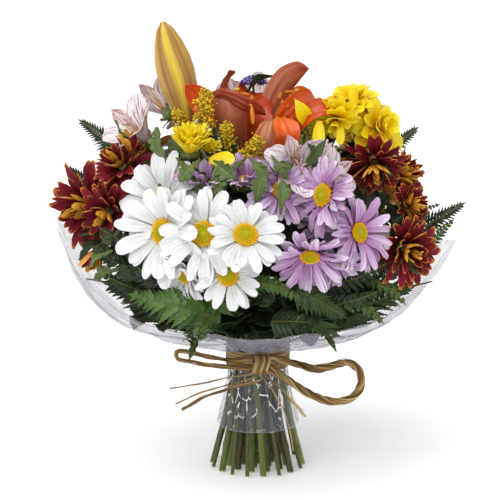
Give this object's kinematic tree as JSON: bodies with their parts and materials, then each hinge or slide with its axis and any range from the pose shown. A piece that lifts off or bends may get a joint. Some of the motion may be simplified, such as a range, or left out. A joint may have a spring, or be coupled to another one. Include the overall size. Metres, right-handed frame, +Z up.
{
  "type": "wildflower bouquet",
  "caption": "Hand-tied bouquet of daisies, chrysanthemums, lilies and ferns in a clear film collar, its spiralled stems bound with a raffia bow; it stands on its cut stems.",
  "frame": {"origin": "on the surface under the cut ends of the stems, below the middle of the whole bouquet", "axes": "+Z up along the stems, -Y towards the front of the bouquet, where the bow is, +X to its right"},
  "size_m": [0.3435, 0.3205, 0.382],
  "materials": {
    "white_daisy": "matt white petals with a faint cool shade in their grooves, and a domed disc of small deep yellow florets with a greenish middle",
    "lilac_daisy": "soft lilac petals, paler at the tip, with fine lengthwise veins round a yellow disc",
    "yellow_chrysanthemum": "clear golden yellow petals with a deeper, warmer heart",
    "crimson_chrysanthemum": "velvety crimson petal faces with dull gold backs and tips",
    "alstroemeria": "satin white to pink petals with short maroon streaks and a yellow throat",
    "goldenrod": "small dusty golden florets along green side sprays",
    "statice": "papery violet calyces with tiny white flowers",
    "lily_petal": "waxy orange-red petal faces with dark freckles, brownish orange backs with a green midrib",
    "lily_bud": "waxy furrowed yellow-orange bud with brown shading in its furrows and a greenish tip",
    "green_stem": "smooth olive-green stem with a pale moist cut end",
    "daisy_disc": "dense dome of tiny deep yellow florets, greenish in the middle",
    "leaf": "matt grey-green leaf with a paler midrib and lobed edges",
    "fern": "thin satin leaflets with a pale midrib and toothed edges",
    "clear_film": "thin clear glossy film with sharp creases that catch the light",
    "raffia": "dry straw-coloured fibre, matt, with fine lengthwise ribs"
  },
  "bodies": {
    "root": {"alstroemeria_stem_1": "alstroemeria", "alstroemeria_stem_2": "alstroemeria", "alstroemeria_stem_3": "alstroemeria", "crimson_chrysanthemum_spray_1": "crimson_chrysanthemum", "crimson_chrysanthemum_spray_2": "crimson_chrysanthemum", "crimson_chrysanthemum_spray_3": "crimson_chrysanthemum", "crimson_chrysanthemum_spray_4": "crimson_chrysanthemum", "crimson_chrysanthemum_spray_5": "crimson_chrysanthemum", "crimson_chrysanthemum_spray_6": "crimson_chrysanthemum", "fern_frond_01": "fern", "fern_frond_02": "fern", "fern_frond_03": "fern", "fern_frond_04": "fern", "fern_frond_05": "fern", "fern_frond_06": "fern", "fern_frond_07": "fern", "fern_frond_08": "fern", "fern_frond_09": "fern", "fern_frond_10": "fern", "fern_frond_11": "fern", "fern_frond_12": "fern", "fern_frond_13": "fern", "film_collar": "clear_film", "goldenrod_stem_1": "goldenrod", "goldenrod_stem_2": "goldenrod", "goldenrod_stem_3": "goldenrod", "lilac_daisy_spray_1": "lilac_daisy", "lilac_daisy_spray_2": "lilac_daisy", "lilac_daisy_spray_3": "lilac_daisy", "lilac_daisy_spray_4": "lilac_daisy", "lily_bloom_left": "lily_petal", "lily_bloom_right": "lily_petal", "lily_bud": "lily_bud", "lily_stem": "green_stem", "raffia_band": "raffia", "raffia_knot": "raffia", "raffia_loop_left": "raffia", "raffia_loop_right": "raffia", "raffia_tail_1": "raffia", "raffia_tail_2": "raffia", "raffia_tail_3": "raffia", "raffia_tail_4": "raffia", "raffia_tail_5": "raffia", "statice_stem_1": "statice", "white_daisy_spray_1": "white_daisy", "white_daisy_spray_2": "white_daisy", "white_daisy_spray_3": "white_daisy", "yellow_chrysanthemum_spray_1": "yellow_chrysanthemum", "yellow_chrysanthemum_spray_2": "yellow_chrysanthemum", "yellow_chrysanthemum_spray_3": "yellow_chrysanthemum"}
  },
  "joints": []
}
